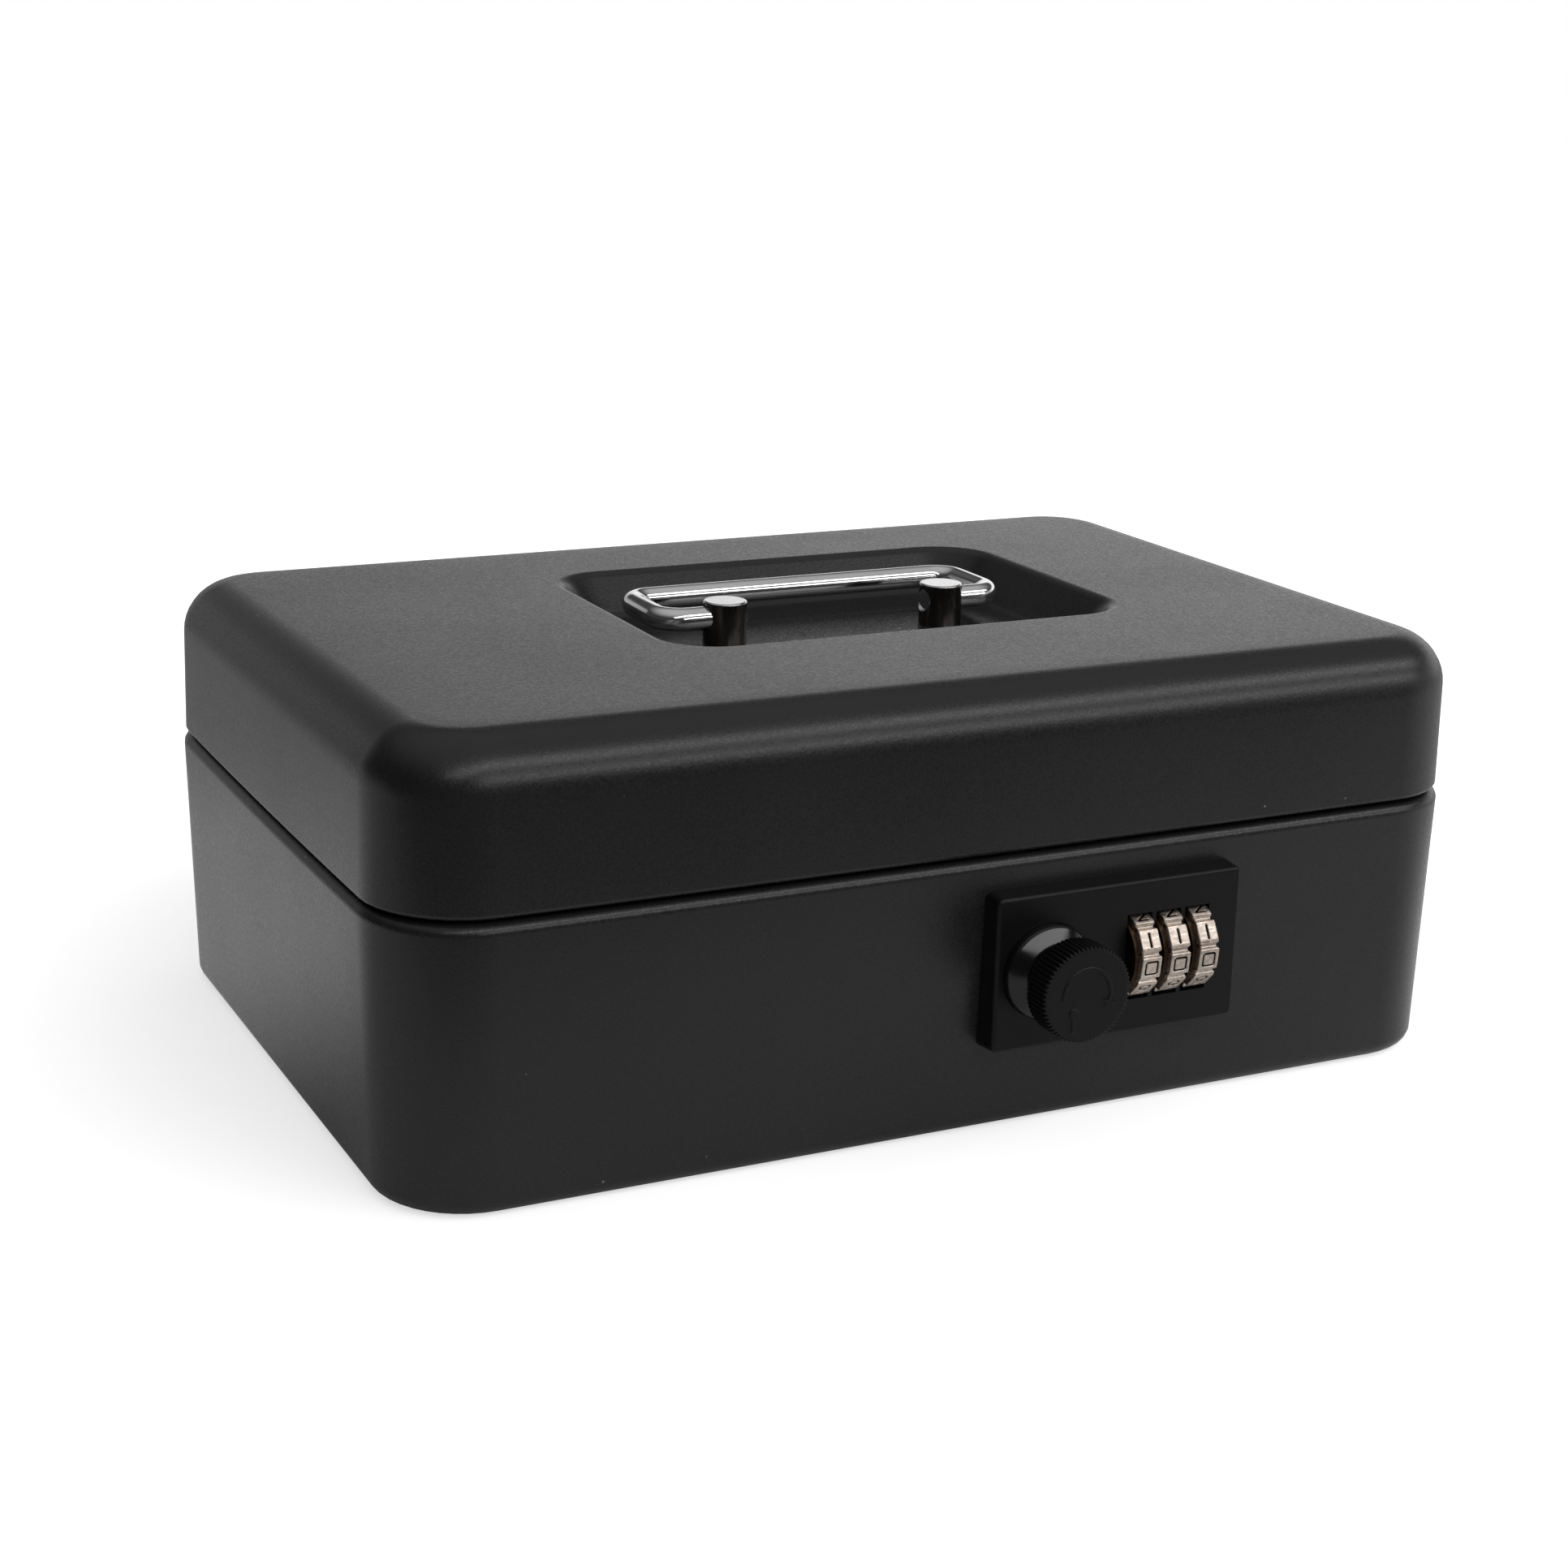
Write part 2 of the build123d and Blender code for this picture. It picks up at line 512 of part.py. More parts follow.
def lock_cover():
    cover = block(CASE_L, CASE_R, CASE_BACK, CASE_BACK + COVER_T, CASE_IN_B - CASE_T, CASE_IN_T + CASE_T)
    for x, z in COVER_SCREWS:
        cover -= rod(1.3, x, z, CASE_BACK - 1, CASE_BACK + 3)
    for x in STUD_X:
        reach = CRANK_REACH + 1.6
        cover -= block(x - 1.6, x + 1.6, CASE_BACK - 1, CASE_BACK + 3, PLATE_Z - reach, PLATE_Z + reach)
    return cover - block(
        RESET_X - 1.6, RESET_X + 4.6, CASE_BACK - 1, CASE_BACK + 3, RESET_Z - 0.9, RESET_Z + 0.9
    )


def small_screw(x, z, seat_y, shank_r, length, head_r, head_h):
    """A screw driven towards the front, its head behind seat_y."""
    screw = rod(head_r, x, z, seat_y, seat_y + head_h) + rod(shank_r, x, z, seat_y - length, seat_y)
    for size in ((head_r * 1.3, 0.6), (0.6, head_r * 1.3)):
        screw -= Pos(x, seat_y + head_h, z) * Box(size[0], head_h, size[1])
    return screw


def lock_screws():
    seats = []
    for x, z in LOCK_SCREWS:
        wall = -(DEPTH / 2 - SHEET - 1.4 - (BASE_TOP - z) * math.tan(math.radians(DRAFT)))
        seats.append(small_screw(x, z, wall + 0.05, 1.2, wall - FACE_Y - 2.6, 2.2, 1.5))
    return seats


def cover_screws():
    return [small_screw(x, z, CASE_BACK + COVER_T, 1.0, 5.0, 1.9, 1.2) for x, z in COVER_SCREWS]


def knob_spindle():
    return rod(SPINDLE_R, KNOB_X, PLATE_Z, FACE_Y - KNOB_FRONT + 3, HOOK_Y + HOOK_T)


def latch_hook():
    """Disc and arm on the spindle, at rest pointing right.

    A quarter turn lifts its arc into the striker.
    """
    hub = Circle(CRANK_R + CRANK_PIN_R)
    middle = (HOOK_IN + HOOK_OUT) / 2
    width = HOOK_OUT - HOOK_IN
    arm = Rot(Z=HOOK_ARM_ANGLE) * Pos(middle / 2, 0) * Rectangle(middle, width)
    sweep_angle = HOOK_TIP_ANGLE - HOOK_ARM_ANGLE - 6
    arc = SlotArc(CenterArc((0, 0), middle, HOOK_ARM_ANGLE, sweep_angle), width)
    outline = hub + arm + arc - Circle(SPINDLE_R)
    return Pos(KNOB_X, HOOK_Y + HOOK_T, PLATE_Z) * Rot(X=90) * extrude(outline, HOOK_T)


def crank_pin():
    return rod(CRANK_PIN_R, KNOB_X + CRANK_REACH, PLATE_Z - CRANK_REACH, SLIDE_Y - 0.3, HOOK_Y)


def latch_screw():
    screw = rod(2.6, KNOB_X, PLATE_Z, HOOK_Y + HOOK_T, HOOK_Y + HOOK_T + 1.6)
    return screw - Pos(KNOB_X, HOOK_Y + HOOK_T + 1.6, PLATE_Z) * Box(3.6, 1.4, 0.7)


def fence_slide():
    """Upright-moving plate with one tooth for each cam and a fork for the crank pin."""
    slide = block(
        KNOB_X + 3.4, WHEEL_MID_X + 10.4, SLIDE_Y, SLIDE_Y + SLIDE_T, SLIDE_MID - 4.5, SLIDE_MID + 4.5
    )
    fork = CRANK_PIN_R + 0.03 * CRANK_R + FIT
    slide -= block(
        KNOB_X + 3, KNOB_X + CRANK_R + CRANK_PIN_R + 0.3, SLIDE_Y - 1, SLIDE_Y + 3,
        SLIDE_MID - fork, SLIDE_MID + fork,
    )
    for x in WHEEL_X:
        x0 = x - SLOT_W / 2 - 0.7
        slide += block(
            x0, x0 + 1.6, AXLE_Y + CAM_FLAT + 0.2, SLIDE_Y + 0.1, SLIDE_MID - 0.6, SLIDE_MID + 0.6
        )
    for x in STUD_X:
        slide -= rod(1.0, x, SLIDE_MID, SLIDE_Y - 1, SLIDE_Y + 3)
    return slide


def fence_guide_studs():
    """Shouldered studs riveted to the slide. They run in the cover's slots."""
    studs = []
    for x in STUD_X:
        stud = rod(1.0, x, SLIDE_MID, SLIDE_Y, SLIDE_Y + SLIDE_T + 1)
        studs.append(stud + rod(1.5, x, SLIDE_MID, SLIDE_Y + SLIDE_T, CASE_BACK + COVER_T + 0.8))
    return studs


def detent_spring():
    """Strip under the case's roof with one sprung finger over each wheel."""
    roof = CASE_IN_T
    spring = block(WHEEL_X[0] - 1.4, WHEEL_X[2] + 0.2, HOOK_Y + 0.6, CASE_BACK, roof - 0.4, roof)
    start = (HOOK_Y + 1.0, roof - 0.4)
    end = (AXLE_Y + 4.2, PLATE_Z + WHEEL_R - 0.3)
    for x in WHEEL_X:
        side = Plane.YZ.offset(x - 1.4) * make_face(Polyline(
            start, (start[0], roof), end, (end[0], end[1] - 0.4), close=True
        ))
        spring += extrude(side, 1.6)
    return spring


def wheel_axle():
    return cross_rod(AXLE_R, CHEEKS[0], CASE_R, AXLE_Y, PLATE_Z)


def reset_lever():
    """Code-change lever on the back of the lock, which slides to the right."""
    back = CASE_BACK + COVER_T
    pad = block(RESET_X - 3, RESET_X + 3, back + 0.1, back + 1.1, RESET_Z - 1.8, RESET_Z + 1.6)
    nib = block(RESET_X - 0.7, RESET_X + 0.7, back + 1.0, back + 3.2, RESET_Z - 1.8, RESET_Z + 1.6)
    stem = block(RESET_X - 1.4, RESET_X + 1.4, CASE_BACK - 1.8, back + 0.2, RESET_Z - 0.8, RESET_Z + 0.8)
    return pad + nib + stem


# ---- Coin tray -------------------------------------------------------------------------------

def coin_tray():
    """Moulded tray that hangs from the lip: a row of round-bottomed cups and a long pocket."""
    rim_inset = FLANGE_INSET - SHEET
    plan = RectangleRounded(WIDTH - 2 * rim_inset, DEPTH - 2 * rim_inset, CORNER_R - rim_inset)
    tray = extrude(Pos(0, 0, LIP_TOP) * plan, TRAY_T)
    side = WIDTH / 2 - FLANGE_INSET - 3
    body = block(-side, side, TRAY_FRONT, TRAY_BACK, LIP_TOP - TRAY_DROP, LIP_TOP + 0.5)
    body = fillet(body.edges().filter_by(Axis.Z), 12)
    tray += body
    for cup in cup_spaces(side):
        tray -= cup
    pocket = block(
        -side + TRAY_T, side - TRAY_T, TRAY_SPLIT + TRAY_T, TRAY_BACK - TRAY_T,
        LIP_TOP - TRAY_DROP + TRAY_T, LIP_TOP + 5,
    )
    tray -= fillet(pocket.edges().filter_by(Axis.Z), 10)
    tray -= block(KNOB_X - 11, KNOB_X + 11, -DEPTH / 2, HOOK_Y + 7, LIP_TOP - 1, LIP_TOP + 5)
    for lug in (-1, 1):
        x = lug * HINGE_X
        tray -= block(x - 17, x + 17, DEPTH / 2 - 7, DEPTH / 2, LIP_TOP - 1, LIP_TOP + 5)
    return tray


def cup_spaces(side):
    """The hollows of the coin cups: scoops with a round bottom."""
    width = (2 * side - TRAY_T * (TRAY_CUPS + 1)) / TRAY_CUPS
    front, back = TRAY_FRONT + TRAY_T, TRAY_SPLIT
    radius = (back - front) / 2
    bottom = LIP_TOP - TRAY_DROP + TRAY_T
    flat = TRAY_DROP - TRAY_T + 5
    cups = []
    for i in range(TRAY_CUPS):
        x0 = -side + TRAY_T + i * (width + TRAY_T)
        scoop = cross_rod(radius * 1.6, x0, x0 + width, (front + back) / 2, bottom + radius * 1.6)
        scoop = scoop & block(x0, x0 + width, front, back, bottom, bottom + flat)
        cups.append(scoop)
    return cups


# ---- Write every piece -----------------------------------------------------------------------

def write(name, solids):
    """One STEP file for a node, from one shape or from a group of separate ones."""
    if isinstance(solids, list):
        solids = Compound(children=[s for item in solids for s in item.solids()])
    export_step(solids, os.path.join("parts", name + ".step"))


def main():
    os.makedirs("parts", exist_ok=True)
    write("base_shell", base_shell())
    write("lid_shell", lid_shell())
    write("lid_striker", lid_striker())
    for side, name in ((-1, "left"), (1, "right")):
        write("hinge_leaf_base_" + name, hinge_leaf_base(side))
        write("hinge_leaf_lid_" + name, hinge_leaf_lid(side))
        write("hinge_pin_" + name, hinge_pin(side))
    for name, x in POSTS.items():
        write("handle_post_" + name, handle_post(x))
    write("handle_bail", handle_bail())
    write("handle_washers", handle_washers())
    write("handle_screws", handle_screws())
    write("lock_plate", lock_plate())
    write("knob_collar", knob_collar())
    write("knob", knob())
    write("knob_spindle", knob_spindle())
    write("latch_hook", latch_hook())
    write("latch_screw", latch_screw())
    write("crank_pin", crank_pin())
    for number, x in enumerate(WHEEL_X, start=1):
        write(f"number_wheel_{number}", number_wheel(x))
        write(f"wheel_cam_{number}", wheel_cam(x))
    write("wheel_axle", wheel_axle())
    write("fence_slide", fence_slide())
    write("fence_guide_studs", fence_guide_studs())
    write("detent_spring", detent_spring())
    write("lock_case", lock_case())
    write("lock_cover", lock_cover())
    write("cover_screws", cover_screws())
    write("lock_screws", lock_screws())
    write("reset_lever", reset_lever())
    write("coin_tray", coin_tray())


main()
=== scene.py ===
import json
import math

import bmesh
import bpy
import numpy as np
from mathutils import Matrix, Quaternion, Vector

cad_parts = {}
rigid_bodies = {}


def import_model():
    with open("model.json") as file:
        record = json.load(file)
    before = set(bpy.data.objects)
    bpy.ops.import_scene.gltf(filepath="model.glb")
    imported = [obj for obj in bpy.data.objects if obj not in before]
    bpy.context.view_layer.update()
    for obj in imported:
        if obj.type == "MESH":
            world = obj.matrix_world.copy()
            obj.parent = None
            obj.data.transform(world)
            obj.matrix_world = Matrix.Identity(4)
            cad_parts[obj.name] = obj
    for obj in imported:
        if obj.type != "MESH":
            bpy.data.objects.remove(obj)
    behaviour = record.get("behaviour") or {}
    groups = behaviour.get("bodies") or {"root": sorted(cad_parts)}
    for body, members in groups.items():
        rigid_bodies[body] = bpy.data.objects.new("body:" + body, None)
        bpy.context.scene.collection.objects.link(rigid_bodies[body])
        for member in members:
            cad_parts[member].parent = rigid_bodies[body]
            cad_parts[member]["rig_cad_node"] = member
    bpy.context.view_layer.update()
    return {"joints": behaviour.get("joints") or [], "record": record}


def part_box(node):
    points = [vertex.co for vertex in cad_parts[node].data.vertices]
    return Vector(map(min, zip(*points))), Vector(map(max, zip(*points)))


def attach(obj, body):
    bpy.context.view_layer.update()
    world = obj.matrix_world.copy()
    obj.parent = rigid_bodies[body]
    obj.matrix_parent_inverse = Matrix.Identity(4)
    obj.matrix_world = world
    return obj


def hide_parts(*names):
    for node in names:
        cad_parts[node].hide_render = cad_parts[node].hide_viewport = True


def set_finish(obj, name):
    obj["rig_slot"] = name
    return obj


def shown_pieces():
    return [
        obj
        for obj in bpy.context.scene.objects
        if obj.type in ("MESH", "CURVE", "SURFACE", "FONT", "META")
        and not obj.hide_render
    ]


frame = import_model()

# Looks for the cash box. Metres, in the frame's own axes. Sizes that follow are in millimetres
# and are turned to metres with MM where a mesh is made.
MM = 0.001
JOINTS = {joint["name"]: joint for joint in frame["joints"]}

LID_LOW, LID_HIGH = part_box("lid_shell")
HALF_X = LID_HIGH.x / MM
HALF_Y = -LID_LOW.y / MM
TOP = LID_HIGH.z / MM
SEAM = JOINTS["lid_hinge"]["pos_m"][2] / MM
LIP_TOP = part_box("base_shell")[1].z / MM
GAP = 0.4                    # each rim from the seam
SHEET = 1.0
CORNER = 21.0
DRAFT = math.tan(math.radians(1.0))
BOW = 0.7                    # how far the front and side walls swell at the seam
STEP = 0.25                  # the base rim is this far outside the CAD wall, the lid rim inside it
BASE_EDGE_R = 3.5
BASE_CURL_R = 2.3
LID_EDGE_R = 11.5
LID_CURL_R = 1.1
HEM = 5.5                    # height of the folded hem inside the lid

POST_L = [(a + b) / 2 / MM for a, b in zip(*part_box("handle_post_left"))]
POST_R = [(a + b) / 2 / MM for a, b in zip(*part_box("handle_post_right"))]
RECESS_X = (POST_L[0] + POST_R[0]) / 2
RECESS_Y = POST_L[1]
RECESS_HALF = (56.0, 39.0)
RECESS_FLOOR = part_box("handle_post_left")[0].z / MM
RECESS_RUN = 7.5             # how far its walls slope inward
RECESS_CORNER = 13.0
RECESS_TOP_R = 3.2

WHEEL_FACES = 10
ZERO_DROP = 7.0              # how far below the front, in degrees, digit 0 stops
DIGIT_HALF = 1.42            # half the height and width of a digit
DIGIT_DEPTH = 0.3


# ---- Mesh helpers ----------------------------------------------------------------------------

def new_piece(name, verts, faces, sharp=38):
    """A smooth-shaded object from points in millimetres."""
    mesh = bpy.data.meshes.new(name)
    points = np.asarray(verts, float) * MM
    mesh.from_pydata([tuple(p) for p in points], [], faces)
    tidy = bmesh.new()
    tidy.from_mesh(mesh)
    bmesh.ops.recalc_face_normals(tidy, faces=tidy.faces)
    tidy.to_mesh(mesh)
    tidy.free()
    mesh.shade_smooth()
    mesh.set_sharp_from_angle(angle=math.radians(sharp))
    obj = bpy.data.objects.new(name, mesh)
    bpy.context.scene.collection.objects.link(obj)
    return obj


def loft(loops, caps=True, closed=False):
    """Quads between loops with the same number of points."""
    n = len(loops[0])
    verts = [p for loop in loops for p in loop]
    faces = []
    spans = len(loops) if closed else len(loops) - 1
    for k in range(spans):
        a, b = k * n, (k + 1) % len(loops) * n
        for i in range(n):
            j = (i + 1) % n
            faces.append((a + i, a + j, b + j, b + i))
    if caps:
        faces.append(tuple(range(n - 1, -1, -1)))
        faces.append(tuple(range(len(verts) - n, len(verts))))
    return verts, faces


def soft_path(corners, steps=7):
    """Points along a bent line in a plane. Each corner is (u, v, bend radius)."""
    out = [tuple(corners[0][:2])]
    for before, here, after in zip(corners, corners[1:], corners[2:]):
        p = Vector(here[:2])
        if here[2] <= 0:
            out.append(tuple(p))
            continue
        back = (Vector(before[:2]) - p).normalized()
        ahead = (Vector(after[:2]) - p).normalized()
        half = back.angle(ahead) / 2
        centre = p + (back + ahead).normalized() * (here[2] / math.sin(half))
        first = p + back * (here[2] / math.tan(half)) - centre
        last = p + ahead * (here[2] / math.tan(half)) - centre
        turn = math.atan2(first.x * last.y - first.y * last.x, first.dot(last))
        for i in range(steps + 1):
            a = turn * i / steps
            spot = Vector((
                first.x * math.cos(a) - first.y * math.sin(a),
                first.x * math.sin(a) + first.y * math.cos(a),
            ))
            out.append(tuple(centre + spot))
    out.append(tuple(corners[-1][:2]))
    return out


def fill_in(path, longest):
    """Adds points so that no step of the path is longer than this."""
    out = [path[0]]
    for a, b in zip(path, path[1:]):
        count = max(1, math.ceil(math.dist(a, b) / longest))
        for i in range(1, count + 1):
            out.append(tuple(p + (q - p) * i / count for p, q in zip(a, b)))
    return out


def plan_loop(half_x, half_y, radius, centre=(0.0, 0.0), bow=0.0):
    """Plan of a rounded rectangle, whose front and sides may swell outward by bow."""
    points = []
    sides = (18, 12, 18, 12)
    signs = ((1, 1), (-1, 1), (-1, -1), (1, -1))
    arc = 10
    for k, (sx, sy) in enumerate(signs):
        ox, oy = sx * (half_x - radius), sy * (half_y - radius)
        for i in range(arc + 1):
            a = math.radians(90 * (k + i / arc))
            nx, ny = math.cos(a), math.sin(a)
            points.append((ox + radius * nx, oy + radius * ny, nx, ny))
        next_x, next_y = signs[(k + 1) % 4]
        a = math.radians(90 * (k + 1))
        end = (
            next_x * (half_x - radius) + radius * math.cos(a),
            next_y * (half_y - radius) + radius * math.sin(a),
        )
        start = points[-1][:2]
        for i in range(1, sides[k]):
            t = i / sides[k]
            x = start[0] + (end[0] - start[0]) * t
            y = start[1] + (end[1] - start[1]) * t
            points.append((x, y, math.cos(a), math.sin(a)))
    out = []
    for x, y, nx, ny in points:
        swell_x = bow * (1 - (y / half_y) ** 2)
        swell_y = bow * (1 - (x / half_x) ** 2) if ny < 0 else 0.0
        out.append((centre[0] + x + nx * swell_x, centre[1] + y + ny * swell_y))
    return out


def wall_loop(inset, z):
    """A loop that follows the box's own outline."""
    height = SEAM if z < SEAM else TOP - SEAM
    bow = BOW * max(0.0, 1 - abs(z - SEAM) / height)
    radius = max(CORNER - inset, 3.0)
    plan = plan_loop(HALF_X - inset, HALF_Y - inset, radius, bow=bow)
    return [(x, y, z) for x, y in plan]


def recess_loop(inset, z):
    """A loop that follows the handle recess."""
    radius = max(RECESS_CORNER - 0.8 * inset, 2.0)
    plan = plan_loop(
        RECESS_HALF[0] - inset, RECESS_HALF[1] - inset, radius, (RECESS_X, RECESS_Y)
    )
    return [(x, y, z) for x, y in plan]


def between(a, b, count):
    """Loops part of the way from a to b."""
    a, b = np.array(a), np.array(b)
    return [(a + (b - a) * i / (count + 1)).tolist() for i in range(1, count + 1)]


def cut(obj, boxes):
    """Takes boxes, given by their corners in millimetres, out of a closed mesh."""
    tools = []
    for low, high in boxes:
        corners = [
            (x, y, z) for z in (low[2], high[2])
            for x, y in ((low[0], low[1]), (high[0], low[1]), (high[0], high[1]), (low[0], high[1]))
        ]
        faces = [(0, 3, 2, 1), (4, 5, 6, 7), (0, 1, 5, 4), (1, 2, 6, 5), (2, 3, 7, 6), (3, 0, 4, 7)]
        tool = new_piece("cutter", corners, faces)
        step = obj.modifiers.new("cut", "BOOLEAN")
        step.operation, step.solver, step.object = "DIFFERENCE", "EXACT", tool
        tools.append(tool)
    depsgraph = bpy.context.evaluated_depsgraph_get()
    done = bpy.data.meshes.new_from_object(obj.evaluated_get(depsgraph))
    obj.modifiers.clear()
    obj.data = done
    obj.data.set_sharp_from_angle(angle=math.radians(38))
    for tool in tools:
        bpy.data.objects.remove(tool)


def even_normals(obj):
    obj.modifiers.new("normals", "WEIGHTED_NORMAL").keep_sharp = True


def place(obj, body, slot, *nodes):
    """Hands a finished piece to its body, in the place of these CAD nodes."""
    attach(obj, body)
    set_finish(obj, slot)
    if nodes:
        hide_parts(*nodes)


# ---- Base and lid ----------------------------------------------------------------------------

def hinge_span(side):
    """Where the notch for one hinge starts and ends along X."""
    low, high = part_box("hinge_leaf_base_" + side)
    room = 0.6
    return low.x / MM - room, high.x / MM + room


def lock_window():
    """The opening behind the lock plate, as the two corners of a box."""
    spindle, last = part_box("knob_spindle"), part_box("number_wheel_3")
    mid = (spindle[0].z + spindle[1].z) / 2 / MM
    half = 11.5
    low = (spindle[0].x / MM - 7, -HALF_Y - 3, mid - half)
    high = (last[1].x / MM + 3.5, -HALF_Y + 3, mid + half)
    return low, high


def base_skin():
    rim = SEAM - GAP
    lean = rim * DRAFT
    path = soft_path([
        (30, 0, 0), (lean, 0, BASE_EDGE_R), (-STEP, rim, BASE_CURL_R), (4, rim, 0.5),
        (4, LIP_TOP, 0.3), (5, LIP_TOP, 0.3), (5, rim - SHEET, 0.3), (SHEET, rim - SHEET, 0.5),
        (lean + SHEET, SHEET, 2.5), (30, SHEET, 0),
    ])
    loops = [wall_loop(inset, z) for inset, z in fill_in(path, 9)]
    verts, faces = loft(loops)
    obj = new_piece("base_shell_skin", verts, faces)
    cuts = []
    for side in ("left", "right"):
        x0, x1 = hinge_span(side)
        cuts.append(((x0, HALF_Y - 6.5, SEAM - 3.3), (x1, HALF_Y + 2, LIP_TOP + 1)))
    cuts.append(lock_window())
    cut(obj, cuts)
    even_normals(obj)
    place(obj, "base", "box_paint", "base_shell")
    return obj


def lid_skin():
    """Lid sheet, from the recess floor over the top, round the rim and back along the inside."""
    rim = SEAM + GAP
    lean = (TOP - rim) * DRAFT
    outer_recess = soft_path([
        (24, RECESS_FLOOR, 0), (RECESS_RUN, RECESS_FLOOR, 3.5), (0, TOP, RECESS_TOP_R), (-9, TOP, 0)
    ])
    outer_wall = soft_path([
        (22, TOP, 0), (lean, TOP, LID_EDGE_R), (STEP, rim, LID_CURL_R), (3, rim, 0.4),
        (3, rim + HEM, 0.4), (SHEET, rim + HEM + 0.7, 0.3),
        (lean + SHEET, TOP - SHEET, LID_EDGE_R - SHEET), (22, TOP - SHEET, 0),
    ], steps=10)
    under_recess = soft_path([
        (-9, TOP - SHEET, 0), (-1, TOP - SHEET, RECESS_TOP_R - SHEET),
        (RECESS_RUN - 1, RECESS_FLOOR - SHEET, 4.5), (24, RECESS_FLOOR - SHEET, 0),
    ])
    first = [recess_loop(*p) for p in outer_recess]
    middle = [wall_loop(*p) for p in fill_in(outer_wall, 6)]
    last = [recess_loop(*p) for p in under_recess]
    loops = first + between(first[-1], middle[0], 3) + middle
    loops += between(middle[-1], last[0], 3) + last
    verts, faces = loft(loops)
    obj = new_piece("lid_shell_skin", verts, faces)
    cuts = []
    for side in ("left", "right"):
        x0, x1 = hinge_span(side)
        cuts.append(((x0, HALF_Y - 6.5, rim - 1), (x1, HALF_Y + 2, SEAM + 3.3)))
        cuts.append(((x0, HALF_Y - 8, rim - 1), (x1, HALF_Y - 1.6, rim + HEM + 1.1)))
    cut(obj, cuts)
    even_normals(obj)
    place(obj, "lid", "box_paint", "lid_shell")
    return obj


def badge():
    """A blank raised pill outline on the recess floor."""
    length, width, band, tall = 30.0, 9.0, 0.8, 0.4
    centre_y = RECESS_Y - 17
    soft = 0.15
    profile = [
        (0, -0.1), (0, tall - soft), (-soft, tall),
        (soft - band, tall), (-band, tall - soft), (-band, -0.1),
    ]
    loops = []
    for grow, z in profile:
        r = width / 2 + grow
        reach = length / 2 - width / 2
        loop = []
        for i in range(48):
            a = 2 * math.pi * (i + 0.5) / 48
            side = reach if math.cos(a) > 0 else -reach
            x, y = RECESS_X + side + r * math.cos(a), centre_y + r * math.sin(a)
            loop.append((x, y, RECESS_FLOOR + z))
        loops.append(loop)
    verts, faces = loft(loops, caps=False, closed=True)
    obj = new_piece("recess_badge", verts, faces)
    place(obj, "lid", "box_paint")
    return obj


# ---- Handle ----------------------------------------------------------------------------------

def bail():
    """Round chrome wire with bent corners, its ends inside the posts."""
    low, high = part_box("handle_bail")
    pivot = Vector(JOINTS["handle_fold"]["pos_m"]) / MM
    radius = (high.z - low.z) / 2 / MM
    x0, x1 = low.x / MM + radius, high.x / MM - radius
    y1 = high.y / MM - radius
    tip = 4.3                    # past each post's middle, so that its bore is filled
    bend = 5.6
    path = soft_path([
        (POST_L[0] + tip, pivot.y, 0), (x0, pivot.y, bend), (x0, y1, bend), (x1, y1, bend),
        (x1, pivot.y, bend), (POST_R[0] - tip, pivot.y, 0),
    ], steps=14)
    up = Vector((0, 0, 1))
    around = np.linspace(0, 2 * math.pi, 33)[:-1]
    loops = []
    for k, (x, y) in enumerate(path):
        a, b = path[max(k - 1, 0)], path[min(k + 1, len(path) - 1)]
        along = Vector((b[0] - a[0], b[1] - a[1], 0)).normalized()
        out = Vector((along.y, -along.x, 0))
        centre = Vector((x, y, pivot.z))
        loops.append([
            tuple(centre + radius * (out * math.cos(t) + up * math.sin(t))) for t in around
        ])
    verts, faces = loft(loops)
    obj = new_piece("bail_wire", verts, faces)
    place(obj, "handle", "handle_chrome", "handle_bail")
    return obj


# ---- Lock front ------------------------------------------------------------------------------

def revolve(name, path, centre, count=120):
    """Turns a path of (radius, distance in front of centre) about an axis along Y."""
    loops = []
    for r, out in path:
        loops.append([
            (centre[0] + r * math.cos(a), centre[1] - out, centre[2] + r * math.sin(a))
            for a in np.linspace(0, 2 * math.pi, count + 1)[:-1]
        ])
    verts, faces = loft(loops, caps=False, closed=True)
    return new_piece(name, verts, faces)


def collar():
    """Domed ring at the foot of the knob."""
    low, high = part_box("knob_collar")
    centre = ((low.x + high.x) / 2 / MM, high.y / MM, (low.z + high.z) / 2 / MM)
    r = (high.x - low.x) / 2 / MM
    t = (high.y - low.y) / MM
    bore = 5.45
    path = soft_path([
        (bore, 0.0, 0), (r, 0.0, 0.1), (r, t * 0.45, 1.5), (r - 3.4, t, 2.2),
        (bore + 0.15, t, 0.2), (bore, 0.2, 0),
    ], steps=12)
    obj = revolve("collar_ring", path[:-1], centre)
    place(obj, "base", "collar_gloss", "knob_collar")
    return obj


def segment_distance(u, v, points):
    """Distance from each (u, v) to a line of straight strokes."""
    best = np.full(np.shape(u), 1e9)
    for (ax, ay), (bx, by) in zip(points, points[1:]):
        dx, dy = bx - ax, by - ay
        t = np.clip(((u - ax) * dx + (v - ay) * dy) / (dx * dx + dy * dy), 0, 1)
        best = np.minimum(best, np.hypot(u - ax - t * dx, v - ay - t * dy))
    return best


def ramp(x, zero, one):
    t = np.clip((x - zero) / (one - zero), 0, 1)
    return t * t * (3 - 2 * t)


